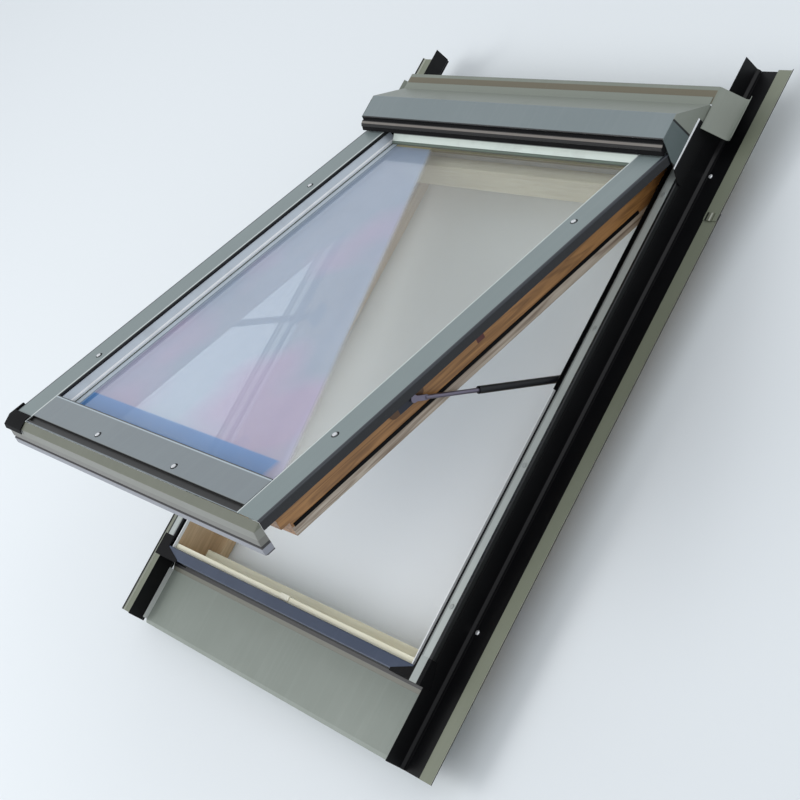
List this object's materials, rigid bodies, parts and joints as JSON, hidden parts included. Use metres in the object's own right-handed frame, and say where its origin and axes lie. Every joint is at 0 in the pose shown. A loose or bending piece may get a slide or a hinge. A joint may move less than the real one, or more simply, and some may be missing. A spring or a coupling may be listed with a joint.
{
  "type": "roof skylight window",
  "caption": "Top hung roof window standing open, with timber frame and sash, double glazing, metal covers, side stays, lock and roof flashing.",
  "frame": {"origin": "middle of the whole part's box, at the underside of the timber frame", "axes": "+Y up the roof slope, +Z out of the roof, +X to the right seen from outside"},
  "size_m": [0.9318, 1.2114, 0.4863],
  "materials": {
    "timber_frame": "clear lacquered pine, satin",
    "timber_sash": "brown stained pine, satin",
    "cover_metal": "satin grey coating",
    "frame_metal": "satin blue grey coating",
    "flashing_black": "satin black coating",
    "flashing_olive": "satin olive grey coating",
    "apron_metal": "satin green grey coating",
    "bead_metal": "satin",
    "glass": "clear",
    "black_rubber": "matte",
    "black_plastic": "fine grain",
    "steel": "plated",
    "black_steel": "satin black",
    "screw_steel": "bright"
  },
  "bodies": {
    "frame": {"apron": "apron_metal", "channel_gaskets": "black_rubber", "flange_clips": "flashing_olive", "frame_bottom_cover": "frame_metal", "frame_bottom_rail": "timber_frame", "frame_corner_caps": "black_plastic", "frame_hinge_plates": "steel", "frame_screws": "screw_steel", "frame_stay_brackets": "steel", "frame_top_rail": "timber_frame", "head_flashing": "cover_metal", "hood_front_strip": "flashing_olive", "hood_seal": "black_rubber", "hood_top": "cover_metal", "hood_wings": "flashing_black", "left_frame_stile": "timber_frame", "left_hood_end": "cover_metal", "left_jamb_cover": "frame_metal", "left_lower_flange": "flashing_olive", "left_side_gutter": "flashing_black", "left_upper_flange": "flashing_olive", "lock_keep": "steel", "right_frame_stile": "timber_frame", "right_hood_end": "cover_metal", "right_jamb_cover": "frame_metal", "right_lower_flange": "flashing_olive", "right_side_gutter": "flashing_black", "right_upper_flange": "flashing_olive", "roof_brackets": "steel"},
    "sash": {"bottom_glazing_bead": "bead_metal", "bottom_sash_cover": "cover_metal", "corner_plug": "black_plastic", "cover_carriers": "black_plastic", "cover_screws": "screw_steel", "handle_base": "steel", "inner_pane": "glass", "left_glazing_bead": "bead_metal", "left_sash_cover": "cover_metal", "left_sash_stile": "timber_sash", "nose_ends": "cover_metal", "outer_pane": "glass", "pane_spacer": "bead_metal", "right_glazing_bead": "bead_metal", "right_sash_cover": "cover_metal", "right_sash_stile": "timber_sash", "sash_bottom_rail": "timber_sash", "sash_hinge_pins": "steel", "sash_nose": "cover_metal", "sash_seals": "black_rubber", "sash_stay_brackets": "steel", "sash_top_rail": "timber_sash", "top_glazing_bead": "bead_metal", "top_sash_cover": "cover_metal"},
    "left_stay_foot": {"left_stay_tube": "black_steel"},
    "right_stay_foot": {"right_stay_tube": "black_steel"},
    "left_stay_slider": {"left_stay_rod": "steel"},
    "right_stay_slider": {"right_stay_rod": "steel"},
    "handle": {"lock_handle": "steel"},
    "tongue": {"lock_tongue": "steel"}
  },
  "joints": [
    {"name": "sash_hinge", "type": "hinge", "parent": "frame", "child": "sash", "pos_m": [0, 0.443, 0.086], "axis": [-1, 0, 0], "range_deg": [-23.5, 0]},
    {"name": "left_stay_swing", "type": "hinge", "parent": "frame", "child": "left_stay_foot", "pos_m": [-0.346, 0.039, 0.06], "axis": [-1, 0, 0], "range_deg": [-53.88, 0]},
    {"name": "left_stay_slide", "type": "slide", "parent": "left_stay_foot", "child": "left_stay_slider", "axis": [0, -0.5597, 0.8287], "range_m": [-0.09235, 0]},
    {"name": "right_stay_swing", "type": "hinge", "parent": "frame", "child": "right_stay_foot", "pos_m": [0.346, 0.039, 0.06], "axis": [-1, 0, 0], "range_deg": [-53.88, 0]},
    {"name": "right_stay_slide", "type": "slide", "parent": "right_stay_foot", "child": "right_stay_slider", "axis": [0, -0.5597, 0.8287], "range_m": [-0.09235, 0]},
    {"name": "handle_turn", "type": "hinge", "parent": "sash", "child": "handle", "pos_m": [0, -0.3684, 0.35157], "axis": [0, 0.3987, 0.9171], "range_deg": [-90, 0]},
    {"name": "tongue_slide", "type": "slide", "parent": "sash", "child": "tongue", "axis": [0, 0.9171, -0.3987], "range_m": [-0.012, 0]}
  ],
  "couplings": [
    {"joint": "left_stay_swing", "follows": "sash_hinge", "ratio": 2.2923},
    {"joint": "left_stay_slide", "follows": "sash_hinge", "m_per_rad": 0.22512},
    {"joint": "right_stay_swing", "follows": "sash_hinge", "ratio": 2.2923},
    {"joint": "right_stay_slide", "follows": "sash_hinge", "m_per_rad": 0.22512},
    {"joint": "tongue_slide", "follows": "handle_turn", "m_per_rad": 0.007639}
  ]
}
